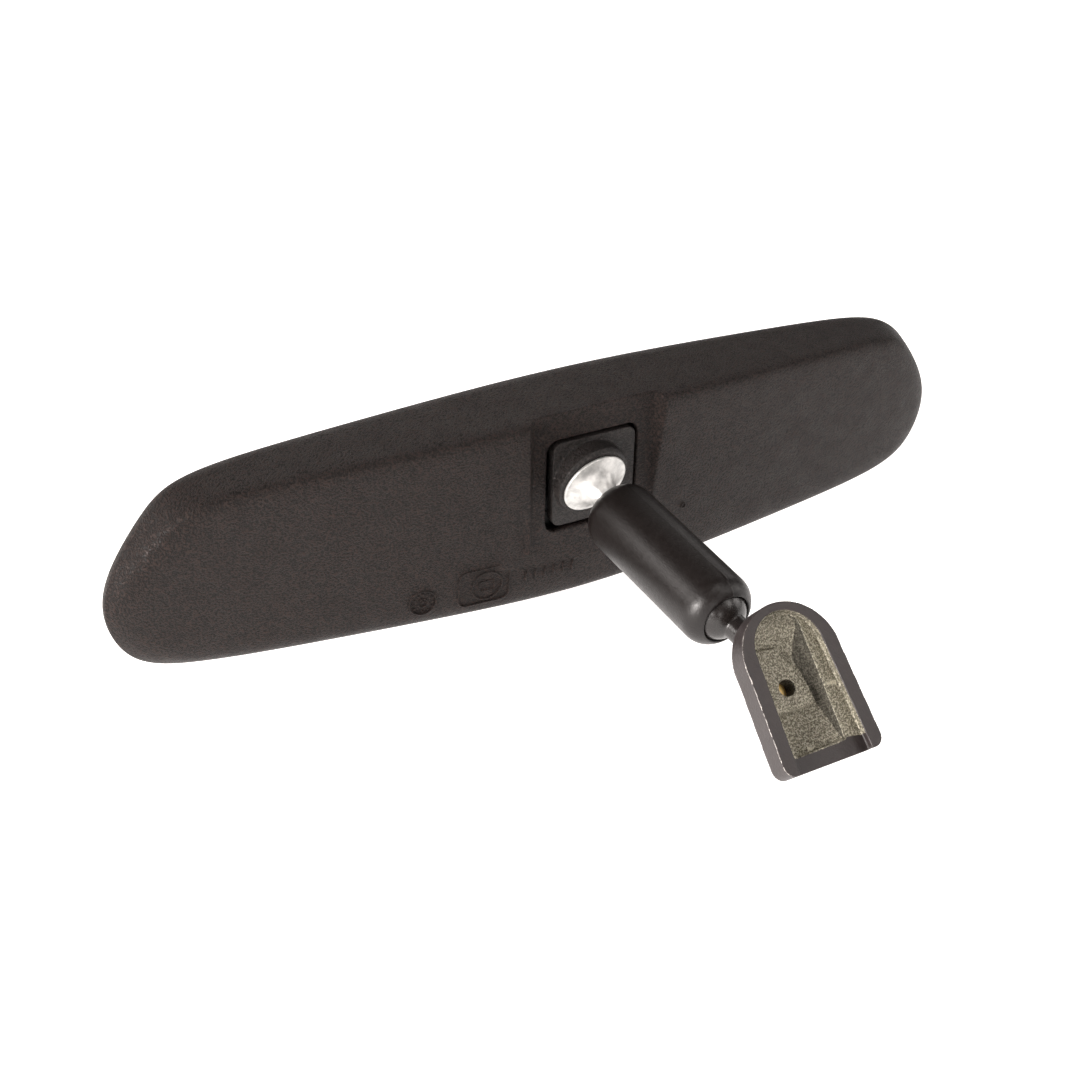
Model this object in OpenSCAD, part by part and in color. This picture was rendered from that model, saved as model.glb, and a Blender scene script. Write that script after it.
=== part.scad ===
// Interior rear-view mirror with a ball-jointed arm, a wedge-shaped day/night
// glass, a flip lever and a foot that slides on a windscreen button.
// Millimetres. +X along the mirror, +Y towards the driver, +Z up.
// The origin is on the floor of the button channel, at the centre of its arch.

/* [Housing] */
// Half length of the mirror head
head_half = 125.08; // [120:0.5:130]
// Depth of the shell behind its widest outline
back_depth = 18; // [17.5:0.1:19]
// Height of the top edge above the reference axis
top_h = 31.24; // [30.5:0.1:33]
// Depth of the bottom edge below the reference axis
bottom_h = 39.19; // [38.5:0.1:41]
// Wall thickness of the moulded shell
wall = 2.2; // [1.8:0.1:2.4]

/* [Glass] */
// Thickness of the wedge glass at its bottom edge
glass_bottom = 2.2; // [1.8:0.1:2.4]
// Wedge angle between the two faces of the glass
glass_wedge = 2.9; // [2.4:0.1:3.0]

/* [Ball joints and arm] */
// Radius of both balls
ball_r = 7.2; // [7.0:0.05:7.2]
// Distance between the two ball centres
arm_len = 41.6; // [41:0.1:42]
// Outside radius of the arm tube
tube_r = 9.6; // [9.55:0.05:9.9]
// Radius of the necks
neck_r = 3.25; // [2.8:0.05:3.4]
// Turns of the compression spring
spring_turns = 6; // [5:1:7]

/* [Day and night mechanism] */
// Radius of the hinge pin
hinge_r = 1.5; // [1.4:0.05:1.5]
// Radius of the link pin on the lever
link_r = 1.2; // [1.1:0.05:1.2]

/* [Windscreen foot] */
// Half width of the channel between its lips at the arch
lip_top = 9.15; // [9:0.05:9.3]
// Half width of the channel between its lips at the open end
lip_end = 10.35; // [10.2:0.05:10.5]
// Depth of the channel floor below the front face
chan_d = 3.7; // [3.5:0.1:3.9]

/* [Hidden] */
$fn = 64;
// place of the channel floor in the head's own axes
SEAT = [2.8,-97.5,-4.1];
pitch_p = 47.6;                        // rake of the foot
PO = SEAT + chan_d*[0,-cos(pitch_p),sin(pitch_p)];
HB = [-1.8,-32.4,2.1];                 // ball centre at the head
tube_yaw = 1.8; tube_pitch = 6.5;      // direction of the arm at rest
TD = [sin(tube_yaw)*cos(tube_pitch), -cos(tube_yaw)*cos(tube_pitch), -sin(tube_pitch)];
MB = HB + arm_len*TD;                  // ball centre at the foot
FL = [-2.4,-20.3,6.07];                // centre of the stud's flare
stud_yaw = 2.84; stud_pitch = 18.1;
stud_len = norm(HB-FL);
neck_yaw = 8.5; neck_pitch = 12.4;     // direction of the foot's neck
hy = -10.6; hz = 20.6;                 // hinge axis of the day/night tilt
ay = -5.5; az = -27.6;                 // lever axle
ly = ay-1.6; lz = az+4.38;             // link pin at rest
bx0 = -13.1; bx1 = 11.7; bz0 = -6.1; bz1 = 18.3; // bracket plate
ox0 = -14.9; ox1 = 12.5; oz0 = -7.6; oz1 = 19.2; // opening in the shell
pad_y = -16.5; pad_x0 = -19.3; pad_x1 = 17.2;    // sunk panel round the opening
nx0 = -16; nx1 = 9.4;                  // lever notch
gf = 3.3;                              // front face of the glass

module row() translate(-SEAT) children();
module along(p,yaw,pitch) translate(p) rotate([90+pitch,0,yaw]) children();
module tube_frame() along(HB,tube_yaw,tube_pitch) children();
module stud_frame() along(FL,stud_yaw,stud_pitch) children();
module foot_frame() translate(PO) rotate([90-pitch_p,0,0]) children();
// a (y,z) outline swept along X from a to b
module sweep_x(a,b) translate([a,0,0]) rotate([90,0,90]) linear_extrude(b-a) children();
// an (x,z) outline swept along Y from a to b
module sweep_y(a,b) translate([0,b,0]) rotate([90,0,0]) linear_extrude(b-a) children();
module rrect(x0,y0,x1,y1,r) { // exact rounded rectangle
  translate([x0+r,y0]) square([x1-x0-2*r,y1-y0]);
  translate([x0,y0+r]) square([x1-x0,y1-y0-2*r]);
  for (x=[x0+r,x1-r], y=[y0+r,y1-r]) translate([x,y]) circle(r);
}

// ---- shape of the shell: blended planes with a bowed back ----
p1 = 13.85; p2 = 22; kx = 0.143; eb = 0.35; kz = -0.117;
SIDE = [[90-3.318,top_h,0.164],[-90+5.415,bottom_h,0.581],[-24.6,head_half,1.082],[41.04,98.19,0.298],[-48.54,108.16,0.418]];
PL = [for (m=[0,1]) for (q=SIDE) let(a=m==0?q[0]:180-q[0]) [[cos(a),q[2],sin(a)],q[1],sqrt(1+q[2]*q[2])]];
function gs(v,w,i=0) = i==len(PL)?0:pow(max(0,(v*PL[i][0])/(PL[i][1]-w*PL[i][2])),p1)+gs(v,w,i+1);
function G(v,w) = pow(gs(v,w),1/p1);
function B(v,w) = max(0,(v[1]+kz*v[2]+sqrt(pow(kx*v[0],2)+pow(eb*v[1],2)))/((back_depth-w)*(1+eb)));
function F(v,w) = pow(pow(G(v,w),p2)+pow(B(v,w),p2),1/p2);
function spow(c,e) = sign(c)*pow(abs(c),e);
function rimd(t) = [125*cos(t),0,32*sin(t)];
// outline of the shell, moved in by w, as an (x,z) point
function outl(t,w) = let(r=rimd(t)/G(rimd(t),w)) [r[0],r[2]];
hole_h = 15.4;
function yb(x,z) = let(K=back_depth*(1+eb)-kz*z) (K-sqrt(eb*eb*K*K+(1-eb*eb)*kx*kx*x*x))/(1-eb*eb);
function opd(t) = let(x=-1.2+hole_h*spow(cos(t),0.3), z=5.8+hole_h*spow(sin(t),0.3)) [x,yb(x,z),z];
function dirt(t,s) = (1-s)*rimd(t)+s*opd(t);
function bis(t,a,b,n) = n==0?(a+b)/2:let(m=(a+b)/2,v=dirt(t,m)) B(v,0)>G(v,0)?bis(t,a,m,n-1):bis(t,m,b,n-1);
function back(v) = [v[0],-v[1],v[2]];
S_OUT = [1,.9,.75,.55,.36,.2,.1,.04,0];      // from the opening to the crease
S_RIM = [.97,.9,.75,.55,.3,0];               // from the crease to the rim
LIP = [[0,1],[.12,2.1],[.5,3.1],[1.2,3.85],[2.2,4.3],[3.4,4.4],[4.1,4.1],[4.3,3.6],[4.3,3.35],[wall,3.35]];
S_IN = [0,.5,.9,1];  S_IN2 = [.12,.45,1];
NT = 72;
function loop(i) = let(t=i*360/NT, c=bis(t,0,1,14)) concat(
  [for (s=S_OUT) let(v=dirt(t,c+(1-c)*s)) back(v/F(v,0))],
  [for (s=S_RIM) let(v=dirt(t,c*s)) back(v/F(v,0))],
  [for (l=LIP) let(o=outl(t,l[0])) [o[0],l[1],o[1]]],
  [for (s=S_IN) let(v=dirt(t,c*s)) back(v/F(v,wall))],
  [for (s=S_IN2) let(v=dirt(t,c+(1-c)*s)) back(v/F(v,wall))]);
module shell_skin() {
  rings = [for (i=[0:NT-1]) loop(i)];
  n = len(rings[0]);
  polyhedron(points=[for (r=rings) each r],
    faces=[for (i=[0:NT-1]) for (j=[0:n-1]) let(a=i*n+j,b=i*n+(j+1)%n,c=((i+1)%NT)*n+(j+1)%n,d=((i+1)%NT)*n+j) each [[c,b,a],[d,c,a]]],
    convexity=8);
}
POSTS = [[-25,15],[23,15],[-25,-13],[23,-13]];
module housing() color([.23,.2,.19]) row() difference() {
  union() {
    shell_skin();
    sweep_y(-17.4,-14.3) rrect(-20.5,-13,18.4,25.4,1);
    for (p=POSTS) translate([p[0],-6.82,p[1]]) rotate([90,0,0]) cylinder(r=3,h=9.5);
  }
  translate([0,0,-17.6]) linear_extrude(70) polygon([[pad_x0,pad_y],[pad_x1,pad_y],[pad_x1+2.1,pad_y-3],[pad_x1+2.1,-40],[pad_x0-2.1,-40],[pad_x0-2.1,pad_y-3]]);
  sweep_y(-30,-10) rrect(ox0,oz0,ox1,oz1,3);
  for (p=POSTS) translate([p[0],-6,p[1]]) rotate([90,0,0]) cylinder(r=1.2,h=8.2,$fn=24);
  // slot for the lever, from the underside through the lip
  translate([nx0,-9.8,-45]) cube([nx1-nx0,20,45-35]);
  translate([nx0,-9.8,-45]) cube([nx1-nx0,9.8,45-29.2]);
  translate([nx0,-9.8,-45]) cube([nx1-nx0,13.1,45-33.4]);
}
module glass_blank(w,a,b) sweep_y(a,b) polygon([for (i=[0:NT-1]) outl(i*360/NT,w)]);
// half space in front of the rear face of the glass, moved back by d
module wedge_cut(d) translate([0,gf-glass_bottom-d,-34.1]) rotate([glass_wedge,0,0]) translate([-200,-60,-100]) cube([400,60,300]);
module mirror_glass() color([.75,.8,.82]) row() difference() { glass_blank(3.7,-6,gf); wedge_cut(0); }
module glass_backing() color([.12,.12,.13]) row() difference() {
  intersection() { glass_blank(4.3,-6,gf-.5); wedge_cut(.05); }
  wedge_cut(.55);
}

// ---- head side of the ball joint ----
module head_ball_stud() color([.85,.85,.83]) row() stud_frame() {
  rotate_extrude() difference() {
    union() {
      translate([0,-.8]) square([9.25,.8]);
      translate([0,0]) square([8.9,stud_len-6]);
    }
    translate([3.3+7.2,0+7.0]) circle(7.2,$fn=96);
    translate([3.3,5]) square([20,20]);
    translate([8.6,0.02]) square([20,20]);
  }
  translate([0,0,4]) cylinder(r=neck_r,h=4);
  translate([0,0,stud_len]) sphere(ball_r);
  translate([0,0,-9.35]) cylinder(r=3.5,h=9);
  translate([0,0,-10.6]) cylinder(r1=3.4,r2=4.9,h=1.25);
}
module stud_washer() color([.6,.6,.6]) row() stud_frame() translate([0,0,-9.35]) difference() {
  cylinder(r=6.8,h=.95); translate([0,0,-1]) cylinder(r=3.55,h=3);
}
module toggle_bracket() color([.16,.15,.15]) row() difference() {
  union() {
    sweep_y(-16.7,-13.9) rrect(bx0,bz0,bx1,bz1,2.5);
    difference() {
      intersection() {
        translate([-2.2,-14.2,6.4]) rotate([90,0,0]) cylinder(r=10.7,h=11);
        stud_frame() { translate([0,0,-16]) cylinder(r=22,h=13.2); translate([0,0,-2.8]) cylinder(r1=11.6,r2=9.7,h=2.8); }
      }
      stud_frame() translate([-30,-30,-.8]) cube([60,60,30]);
    }
    stud_frame() translate([0,0,-8.4]) cylinder(r=7.6,h=4.4);
    for (x=[-11,6.6]) {
      sweep_x(x,x+3) {
        translate([hy,hz]) circle(2.9);
        polygon([[-14.2,5],[-14.2,18],[-13.3,19.4],[-12.9,22.2],[hy,hz+2.7],[-8.2,21.8],[-8.2,18.6],[-11.6,12],[-12.4,5]]);
      }
    }
    // tail and fork
    sweep_x(-3.4,2) difference() {
      union() {
        polygon([[-14.2,1],[-14.2,-5.7],[-13.3,-8],[-13,-13],[-10.1,-20],[-7.6,-20],[-10.6,-13],[-11.2,-5],[-11.2,1]]);
        translate([ly-3,-25.3]) square([6,6.4]);
      }
      translate([ly-1.32,-27]) square([2.64,5.4]);
    }
    sweep_x(-7,5.6) polygon([[-14.2,-1],[-14.2,-5.7],[-12.4,-5.7],[-12.2,-1]]);
  }
  stud_frame() { translate([0,0,-14]) cylinder(r=3.55,h=16); translate([0,0,-16]) cylinder(r=7.1,h=7.6); }
  sweep_x(-20,20) translate([hy,hz]) circle(2.1);
}
module hinge_bushes() color([.92,.92,.88]) row() for (x=[-11.15,6.45]) {
  sweep_x(x,x+3.3) difference() { translate([hy,hz]) circle(2.08); translate([hy,hz]) circle(hinge_r+.04); }
}

// ---- mechanism inside the head ----
module mechanism_carrier() color([.3,.3,.32]) row() difference() {
  union() {
    sweep_y(-6.8,-5.2) rrect(-29,-17.5,27,20,3);
    for (x=[-14.2,10]) sweep_x(x,x+2.8) {
      translate([hy,hz]) circle(2.9);
      polygon([[-12.7,18.7],[-6.2,10.5],[-5.4,10.5],[-5.4,20],[-9.2,23.1]]);
    }
    for (x=[-9.3,5.7]) sweep_x(x,x+2.2) {
      translate([ay,az]) circle(2.7);
      polygon([[-6.8,-12],[-5.4,-12],[-3.1,-25.5],[-2.9,-27.6],[-8.1,-27.6],[-7.9,-24]]);
    }
    for (p=POSTS) translate([p[0],-5.2,p[1]]) rotate([90,0,0]) cylinder(r=3.6,h=1.6);
  }
  sweep_y(-10,-4) { rrect(-9,-4,7.6,12,2); rrect(-4.4,-20,2.9,-2,.5); }
  sweep_x(-20,20) translate([hy,hz]) circle(hinge_r+.01);
  sweep_x(-12,12) translate([ay,az]) circle(hinge_r+.01);
  for (p=POSTS) translate([p[0],0,p[1]]) rotate([90,0,0]) cylinder(r=1.6,h=12,$fn=32);
  translate([4.3,0,-13.5]) rotate([90,0,0]) cylinder(r=1.0,h=12,$fn=24);
}
module carrier_screws() color([.7,.68,.6]) row() for (p=POSTS) translate([p[0],-5.2,p[1]]) rotate([90,0,0]) difference() {
  union() { translate([0,0,-1.4]) cylinder(r=2.9,h=1.4); cylinder(r=1.15,h=8,$fn=32); }
  for (a=[0,90]) rotate(a) translate([-1.6,-.3,-1.5]) cube([3.2,.6,1]);
}
module hinge_pin() color([.7,.7,.72]) row() sweep_x(-15.6,14.2) translate([hy,hz]) circle(hinge_r);
module hinge_clips() color([.35,.35,.38]) row() for (x=[-14.95,13.0]) sweep_x(x,x+.6) difference() {
  translate([hy,hz]) circle(2.8); translate([hy,hz]) circle(hinge_r+.01); translate([hy-.9,hz]) square([1.8,5]);
}
module anti_rattle_foam() color([.2,.2,.22]) row() intersection() {
  for (x=[-24,11]) sweep_y(-5.15,2) rrect(x,-4,x+11,4,1);
  translate([0,-.6,0]) difference() { translate([-100,-50,-50]) cube([200,60,100]); translate([0,gf-glass_bottom,-34.1]) rotate([glass_wedge,0,0]) translate([-200,0,-100]) cube([400,60,300]); }
}
module day_stop_bumpers() color([.1,.1,.1]) row() for (x=[-12.6,10.8]) translate([x,-6.85,-6]) rotate([90,0,0]) cylinder(r=1.9,h=4.7);
module detent_spring() color([.75,.75,.78]) row() difference() {
  sweep_x(3.2,5.3) polygon([[-6.8,-11],[-7.2,-11],[-7.2,-17.4],[-10.6,-20.3],[-10.6,-26.2],[-9.85,-28.6],[-9.45,-28.5],[-10.2,-26.1],[-10.2,-20.5],[-6.8,-17.6]]);
  translate([4.3,0,-13.5]) rotate([90,0,0]) cylinder(r=.8,h=12,$fn=24);
}
module detent_screw() color([.7,.68,.6]) row() translate([4.3,-7.2,-13.5]) rotate([-90,0,0]) {
  cylinder(r=.75,h=2.2,$fn=32); translate([0,0,-.9]) cylinder(r=1.05,h=.9,$fn=32);
}
module lever_axle() color([.7,.7,.72]) row() sweep_x(-9.9,8.5) translate([ay,az]) circle(hinge_r);
module toggle_lever() color([.1,.1,.1]) row() difference() {
  union() {
    for (x=[-6.6,2.7]) sweep_x(x,x+2.6) {
      translate([ay,az]) circle(2.8);
      translate([ly,lz]) circle(2.2);
      polygon([[ly-2.1,lz-.4],[ly+2.1,lz+.4],[ay+2.7,az+.6],[ay-2.7,az-.6]]);
      polygon([[ay-2.6,az-.8],[ay+2.6,az+1],[-1.2,-31],[1.2,-34.9],[-4,-34.2]]);
    }
    sweep_x(nx0+.8,nx1-.8) polygon([[-3.9,-31.2],[-2.2,-31.6],[1.4,-35.3],[4.6,-35.3],[8,-35.9],[13.8,-38.6],[14.8,-39.8],[13.6,-40.5],[7.2,-38.3],[4.6,-36.7],[-.8,-36.7],[-4.2,-33.9]]);
  }
  sweep_x(-20,20) translate([ay,az]) circle(hinge_r+.05);
  sweep_x(-20,20) translate([ly,lz]) circle(link_r);
}
module link_pin() color([.7,.7,.72]) row() sweep_x(-6.5,5.2) translate([ly,lz]) circle(link_r);

// ---- arm ----
fr = 5.9; te = 5;           // end rounding of the tube, and its reach past each ball centre
module tube_outline() {
  translate([0,-te]) difference() {
    union() {
      translate([0,fr]) square([tube_r,arm_len+2*te-2*fr]);
      translate([0,0]) square([tube_r-fr,arm_len+2*te]);
      for (y=[fr,arm_len+2*te-fr]) translate([tube_r-fr,y]) circle(fr,$fn=96);
    }
    translate([-40,-5]) square([40,arm_len+40]);
  }
}
module arm_tube() color([.13,.12,.12]) row() tube_frame() rotate_extrude($fn=96) difference() {
  tube_outline();
  translate([-1,-.6]) square([8.35+1,arm_len+1.2]);
  for (y=[0,arm_len]) translate([0,y]) circle(ball_r+.1,$fn=96);
  // open mouths, with a small chamfer inside each lip
  translate([-1,-10]) square([7.3,10-3.5]);
  translate([-1,arm_len+3.5]) square([7.3,10]);
  polygon([[5,-6],[7.2,-6],[6.3,-3.4],[5,-3.4]]);
  polygon([[5,arm_len+6],[7.2,arm_len+6],[6.3,arm_len+3.4],[5,arm_len+3.4]]);
  translate([-1,-10]) square([12,10-4.05]);
  translate([-1,arm_len+4.05]) square([12,10]);
}
// ball cup: part of a spherical shell behind the ball
module cup() rotate_extrude() intersection() {
  difference() { circle(ball_r+1,$fn=96); circle(ball_r+.05,$fn=96); }
  polygon([[0,0],[20*sin(24),20*cos(24)],[20*sin(50),20*cos(50)],[20*sin(65),20*cos(65)]]);
}
module seat() difference() {
  union() { translate([0,0,4.4]) cylinder(r=8.22,h=6.4); translate([0,0,10.7]) cylinder(r=4.6,h=2.4); }
  sphere(ball_r+1.12,$fn=96);
  cylinder(r=2.8,h=30);
}
module head_ball_cup() color([.9,.9,.86]) row() tube_frame() cup();
module mount_ball_cup() color([.9,.9,.86]) row() tube_frame() translate([0,0,arm_len]) mirror([0,0,1]) cup();
module head_spring_seat() color([.65,.65,.68]) row() tube_frame() seat();
module mount_spring_seat() color([.65,.65,.68]) row() tube_frame() translate([0,0,arm_len]) mirror([0,0,1]) seat();
sp_w = .85; sp_R = 6.3; s0 = 10.8+sp_w+.02; s1 = arm_len-10.8-sp_w-.1;
NS = 20*spring_turns;
function spt(k) = let(u=k/NS,a=360*spring_turns*u,z=s0+(s1-s0)*u) [sp_R*cos(a),sp_R*sin(a),z];
module arm_spring() color([.6,.6,.62]) row() tube_frame() {
  pts = [for (k=[0:NS]) let(p=spt(k),a=360*spring_turns*k/NS) for (j=[0:5]) p+sp_w*cos(60*j)*[cos(a),sin(a),0]+[0,0,sp_w*sin(60*j)]];
  polyhedron(points=pts, faces=concat([[for (j=[5:-1:0]) j]],[[for (j=[0:5]) NS*6+j]],
    [for (k=[0:NS-1]) for (j=[0:5]) let(a=k*6+j,b=k*6+(j+1)%6,c=(k+1)*6+(j+1)%6,d=(k+1)*6+j) each [[a,b,c],[a,c,d]]]),convexity=10);
}

// ---- windscreen foot ----
module foot_outline(d) {
  translate([0,.3]) circle(13.2-d,$fn=96);
  polygon([[-13.1+d,.3],[13.1-d,.3],[13.9-d,-22.6+d],[-13.9+d,-22.6+d]]);
  polygon([[-13.9+d,-22.6+d],[13.9-d,-22.6+d],[11.2-d,-25.3+d],[-11.2+d,-25.3+d]]);
  for (x=[-1,1]) translate([x*(11.25-d),-22.65+d]) circle(2.65,$fn=48);
}
module chan_outline(g) {
  translate([0,2.35]) circle(lip_top+g,$fn=96);
  polygon([[-lip_top-g,2.35],[lip_top+g,2.35],[lip_end+g,-26],[-lip_end-g,-26]]);
}
// corners of the floor of the sunk pocket, and the platform that the screw comes through
POCKET = [[7.1,7.75,-3.75],[6.56,-20.84,-4.1],[3.14,.8,-6.6],[5.3,-10.1,-7.2],[-7.3,-10.6,-7.2],[-7.3,-21.34,-6.6],[-7.3,4.3,-6.2],
  [-5.6,9.2,-4.15],[-4.5,9.85,-4.1],[-3.08,10.6,-4.1],[-.68,11.2,-4.1],[2.16,11.25,-4.1],[5.26,10.3,-4.1],[6.9,9,-3.95]];
module platform(z,g,h=.02) translate([0,0,z]) linear_extrude(h) polygon([[-8,4.6+g],[-1.06,3.9+g],[1.46+g,-1.82],[3.73+g,-10.2-g],[2.9+g,-10.4-2*g],[-8,-10.4-2*g]]);
module windshield_mount() color([.35,.32,.3]) row() {
  difference() {
    union() {
      foot_frame() {
        translate([0,0,-5.5]) linear_extrude(5.5) foot_outline(0);
        translate([0,0,-6.6]) linear_extrude(1.2) foot_outline(.5);
        translate([0,0,-7.8]) linear_extrude(1.3) foot_outline(1.5);
        translate([0,0,-9]) linear_extrude(1.3) foot_outline(3.2);
        translate([0,0,-10]) linear_extrude(1.1) foot_outline(5.6);
        translate([-1.6,-5.2,-11.4]) cylinder(r=4.3,h=5);
      }
      along(MB,neck_yaw,neck_pitch) {
        cylinder(r=neck_r,h=24);
        translate([0,0,11]) cylinder(r1=neck_r-.05,r2=6.2,h=8);
        translate([0,0,19]) cylinder(r=6.2,h=2.6);
      }
    }
    foot_frame() {
      translate([0,0,-1.1]) linear_extrude(3) chan_outline(0);
      translate([0,0,-chan_d]) linear_extrude(chan_d-1) chan_outline(1.25);
      // sunk pocket: a ramp below the arch, a steep side and a deep lower end, cut round the screw's platform
      difference() {
        hull() for (q=POCKET) { translate([q[0],q[1],-3.6]) cube(.02,center=true); translate(q) cube(.02,center=true); }
        hull() { platform(-4.75,0); platform(-5.4,.35); }
        platform(-12,.35,6.7);
      }
      translate([0,0,-4.75]) linear_extrude(1.2) polygon([[-6.6,4.4],[-1.06,3.9],[1.46,-1.82],[3.73,-10.5],[-6.7,-10.5]]);
      translate([-2,-5.6,-16]) cylinder(r=2.05,h=14);
    }
  }
  translate(MB) sphere(ball_r);
}
module set_screw() color([.72,.6,.3]) row() foot_frame() translate([-2,-5.6,-11.6]) difference() {
  union() { cylinder(r=2.04,h=2.6); cylinder(r=1.3,h=3.4); }
  translate([0,0,-1]) cylinder(r=1.15,h=2.8,$fn=6);
}

windshield_mount();
set_screw();
mount_ball_cup();
mount_spring_seat();
arm_tube();
arm_spring();
head_spring_seat();
head_ball_cup();
head_ball_stud();
stud_washer();
toggle_bracket();
hinge_bushes();
housing();
mirror_glass();
glass_backing();
mechanism_carrier();
carrier_screws();
hinge_pin();
hinge_clips();
anti_rattle_foam();
day_stop_bumpers();
detent_spring();
detent_screw();
lever_axle();
toggle_lever();
link_pin();
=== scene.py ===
import math
import bpy
import bmesh
import numpy as np
from mathutils import Matrix, Vector


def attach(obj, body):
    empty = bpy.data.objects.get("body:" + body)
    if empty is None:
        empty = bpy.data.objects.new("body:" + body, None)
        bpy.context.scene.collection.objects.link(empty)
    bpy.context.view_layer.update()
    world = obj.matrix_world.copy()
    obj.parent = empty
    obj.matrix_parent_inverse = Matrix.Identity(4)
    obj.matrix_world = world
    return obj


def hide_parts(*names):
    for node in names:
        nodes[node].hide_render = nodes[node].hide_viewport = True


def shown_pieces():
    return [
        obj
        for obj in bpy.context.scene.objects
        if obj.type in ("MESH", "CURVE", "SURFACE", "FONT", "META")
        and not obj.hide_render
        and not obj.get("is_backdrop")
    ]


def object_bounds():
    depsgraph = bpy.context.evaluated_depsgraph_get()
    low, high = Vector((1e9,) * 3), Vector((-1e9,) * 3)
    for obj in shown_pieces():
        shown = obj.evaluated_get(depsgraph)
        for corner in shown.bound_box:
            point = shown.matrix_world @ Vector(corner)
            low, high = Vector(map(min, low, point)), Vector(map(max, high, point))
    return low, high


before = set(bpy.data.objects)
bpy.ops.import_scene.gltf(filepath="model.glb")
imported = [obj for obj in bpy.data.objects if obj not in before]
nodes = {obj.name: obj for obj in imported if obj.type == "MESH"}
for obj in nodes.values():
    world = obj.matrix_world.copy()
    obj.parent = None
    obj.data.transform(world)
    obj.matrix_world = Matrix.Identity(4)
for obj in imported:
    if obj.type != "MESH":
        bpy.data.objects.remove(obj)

cad_box = [list(map(float, c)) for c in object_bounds()]
MM = 0.001
SEAT = np.array([2.8, -97.5, -4.1])      # row origin in the head's own millimetre axes


def row(p):
    return (np.asarray(p, float) - SEAT) * MM


# ------------------------------------------------------------------ materials
def new_mat(name):
    m = bpy.data.materials.new(name)
    m.use_nodes = True
    nt = m.node_tree
    b = nt.nodes["Principled BSDF"]
    return m, nt, b


def link(nt, a, b):
    nt.links.new(a, b)


def noise(nt, scale, detail=4, rough=.55, co=None):
    n = nt.nodes.new("ShaderNodeTexNoise")
    n.inputs["Scale"].default_value = scale
    n.inputs["Detail"].default_value = detail
    n.inputs["Roughness"].default_value = rough
    if co is not None:
        link(nt, co, n.inputs["Vector"])
    return n.outputs["Fac"]


def ramp(nt, fac, stops):
    r = nt.nodes.new("ShaderNodeValToRGB")
    while len(r.color_ramp.elements) < len(stops):
        r.color_ramp.elements.new(.5)
    for e, (p, c) in zip(r.color_ramp.elements, stops):
        e.position = p
        e.color = (*c, 1) if len(c) == 3 else c
    link(nt, fac, r.inputs["Fac"])
    return r.outputs["Color"]


def remap(nt, fac, a, b, lo=.3, hi=.7):
    m = nt.nodes.new("ShaderNodeMapRange")
    m.inputs["From Min"].default_value = lo
    m.inputs["From Max"].default_value = hi
    m.inputs["To Min"].default_value = a
    m.inputs["To Max"].default_value = b
    link(nt, fac, m.inputs["Value"])
    return m.outputs["Result"]


def mixc(nt, fac, a, b, kind="MIX"):
    m = nt.nodes.new("ShaderNodeMix")
    m.data_type = "RGBA"
    m.blend_type = kind
    if isinstance(fac, (int, float)):
        m.inputs["Factor"].default_value = fac
    else:
        link(nt, fac, m.inputs["Factor"])
    for s, v in ((6, a), (7, b)):
        if isinstance(v, (tuple, list)):
            m.inputs[s].default_value = (*v, 1)
        else:
            link(nt, v, m.inputs[s])
    return m.outputs[2]


def add(nt, a, b, wb=1.0):
    m = nt.nodes.new("ShaderNodeMath")
    m.operation = "MULTIPLY_ADD"
    link(nt, b, m.inputs[0])
    m.inputs[1].default_value = wb
    link(nt, a, m.inputs[2])
    return m.outputs[0]


def bump(nt, b, height, dist, strength=1.0):
    n = nt.nodes.new("ShaderNodeBump")
    n.inputs["Distance"].default_value = dist
    n.inputs["Strength"].default_value = strength
    link(nt, height, n.inputs["Height"])
    link(nt, n.outputs["Normal"], b.inputs["Normal"])


def coords(nt, scale=(1, 1, 1), rot=(0, 0, 0)):
    t = nt.nodes.new("ShaderNodeTexCoord")
    m = nt.nodes.new("ShaderNodeMapping")
    m.inputs["Scale"].default_value = scale
    m.inputs["Rotation"].default_value = rot
    link(nt, t.outputs["Object"], m.inputs["Vector"])
    return m.outputs["Vector"]


def plastic(name, dark, light, rough, grain=1500, depth=.00007, spec=.5, tone=.5, edge_wear_and_highlight=0.0):
    """Moulded plastic: leathery grain, slow tone change, and a roughness that varies with both."""
    m, nt, b = new_mat(name)
    co = coords(nt)
    g1 = noise(nt, grain, 3, .6, co)
    g2 = noise(nt, grain * 2.3, 2, .5, co)
    big = noise(nt, 22, 4, .5, co)
    mid = noise(nt, 160, 3, .6, co)
    g = remap(nt, add(nt, g1, g2, .45), 0, 1, .62, .84)
    base = ramp(nt, big, [(.3, dark), (.72, light)])
    fine = ramp(nt, g, [(.15, tuple(.5 * c for c in dark)), (.55, tuple(.9 * c for c in light)), (.9, tuple(2.3 * c for c in light))])
    c = mixc(nt, tone, base, fine)
    # convex edges are lightened: partly edge wear, partly painted highlight
    if edge_wear_and_highlight:
        geo = nt.nodes.new("ShaderNodeNewGeometry")
        e = add(nt, geo.outputs["Pointiness"], g1, .03)
        w = ramp(nt, e, [(.53, (0, 0, 0)), (.62, (edge_wear_and_highlight, edge_wear_and_highlight, edge_wear_and_highlight))])
        c = mixc(nt, w, c, tuple(min(1, 2.6 * q) for q in light))
    link(nt, c, b.inputs["Base Color"])
    r = add(nt, remap(nt, mid, rough - .05, rough + .06), g1, .12)
    link(nt, r, b.inputs["Roughness"])
    b.inputs["Specular IOR Level"].default_value = spec
    bump(nt, b, g, depth)
    return m


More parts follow.
